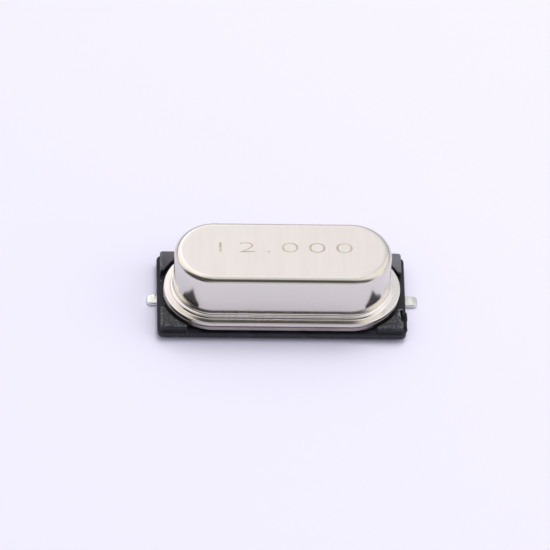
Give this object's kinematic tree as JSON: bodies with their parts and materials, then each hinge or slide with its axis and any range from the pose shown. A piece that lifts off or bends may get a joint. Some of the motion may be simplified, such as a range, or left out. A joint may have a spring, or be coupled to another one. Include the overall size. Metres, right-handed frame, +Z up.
{
  "type": "crystal oscillator",
  "caption": "Surface-mount quartz crystal: a low oval metal can on a black moulded insulator with a flat solder foot at each end.",
  "frame": {"origin": "centre of the seating plane, midway between the two solder feet", "axes": "+X runs from foot to foot, +Y across the width, +Z up from the seating plane through the can's roof"},
  "size_m": [0.0124, 0.0048, 0.0035],
  "materials": {
    "insulator_black": "moulded, dull, with a fine grain and small nicks",
    "header_nickel": "nickel plated steel, satin",
    "can_nickel": "nickel silver sheet, satin roof, bright drawn wall",
    "seal_glass": "dark sealing glass",
    "lead_tin": "matt tin plate",
    "spring_strip": "nickel plated spring strip",
    "quartz": "lapped quartz",
    "silver_film": "evaporated silver",
    "silver_adhesive": "silver filled adhesive"
  },
  "bodies": {
    "root": {"plastic_base": "insulator_black", "header": "header_nickel", "can": "can_nickel", "glass_seal_left": "seal_glass", "glass_seal_right": "seal_glass", "lead_left": "lead_tin", "lead_right": "lead_tin", "clip_left": "spring_strip", "clip_right": "spring_strip", "quartz_blank": "quartz", "electrode_top": "silver_film", "electrode_bottom": "silver_film", "adhesive_left": "silver_adhesive", "adhesive_right": "silver_adhesive"}
  },
  "joints": []
}
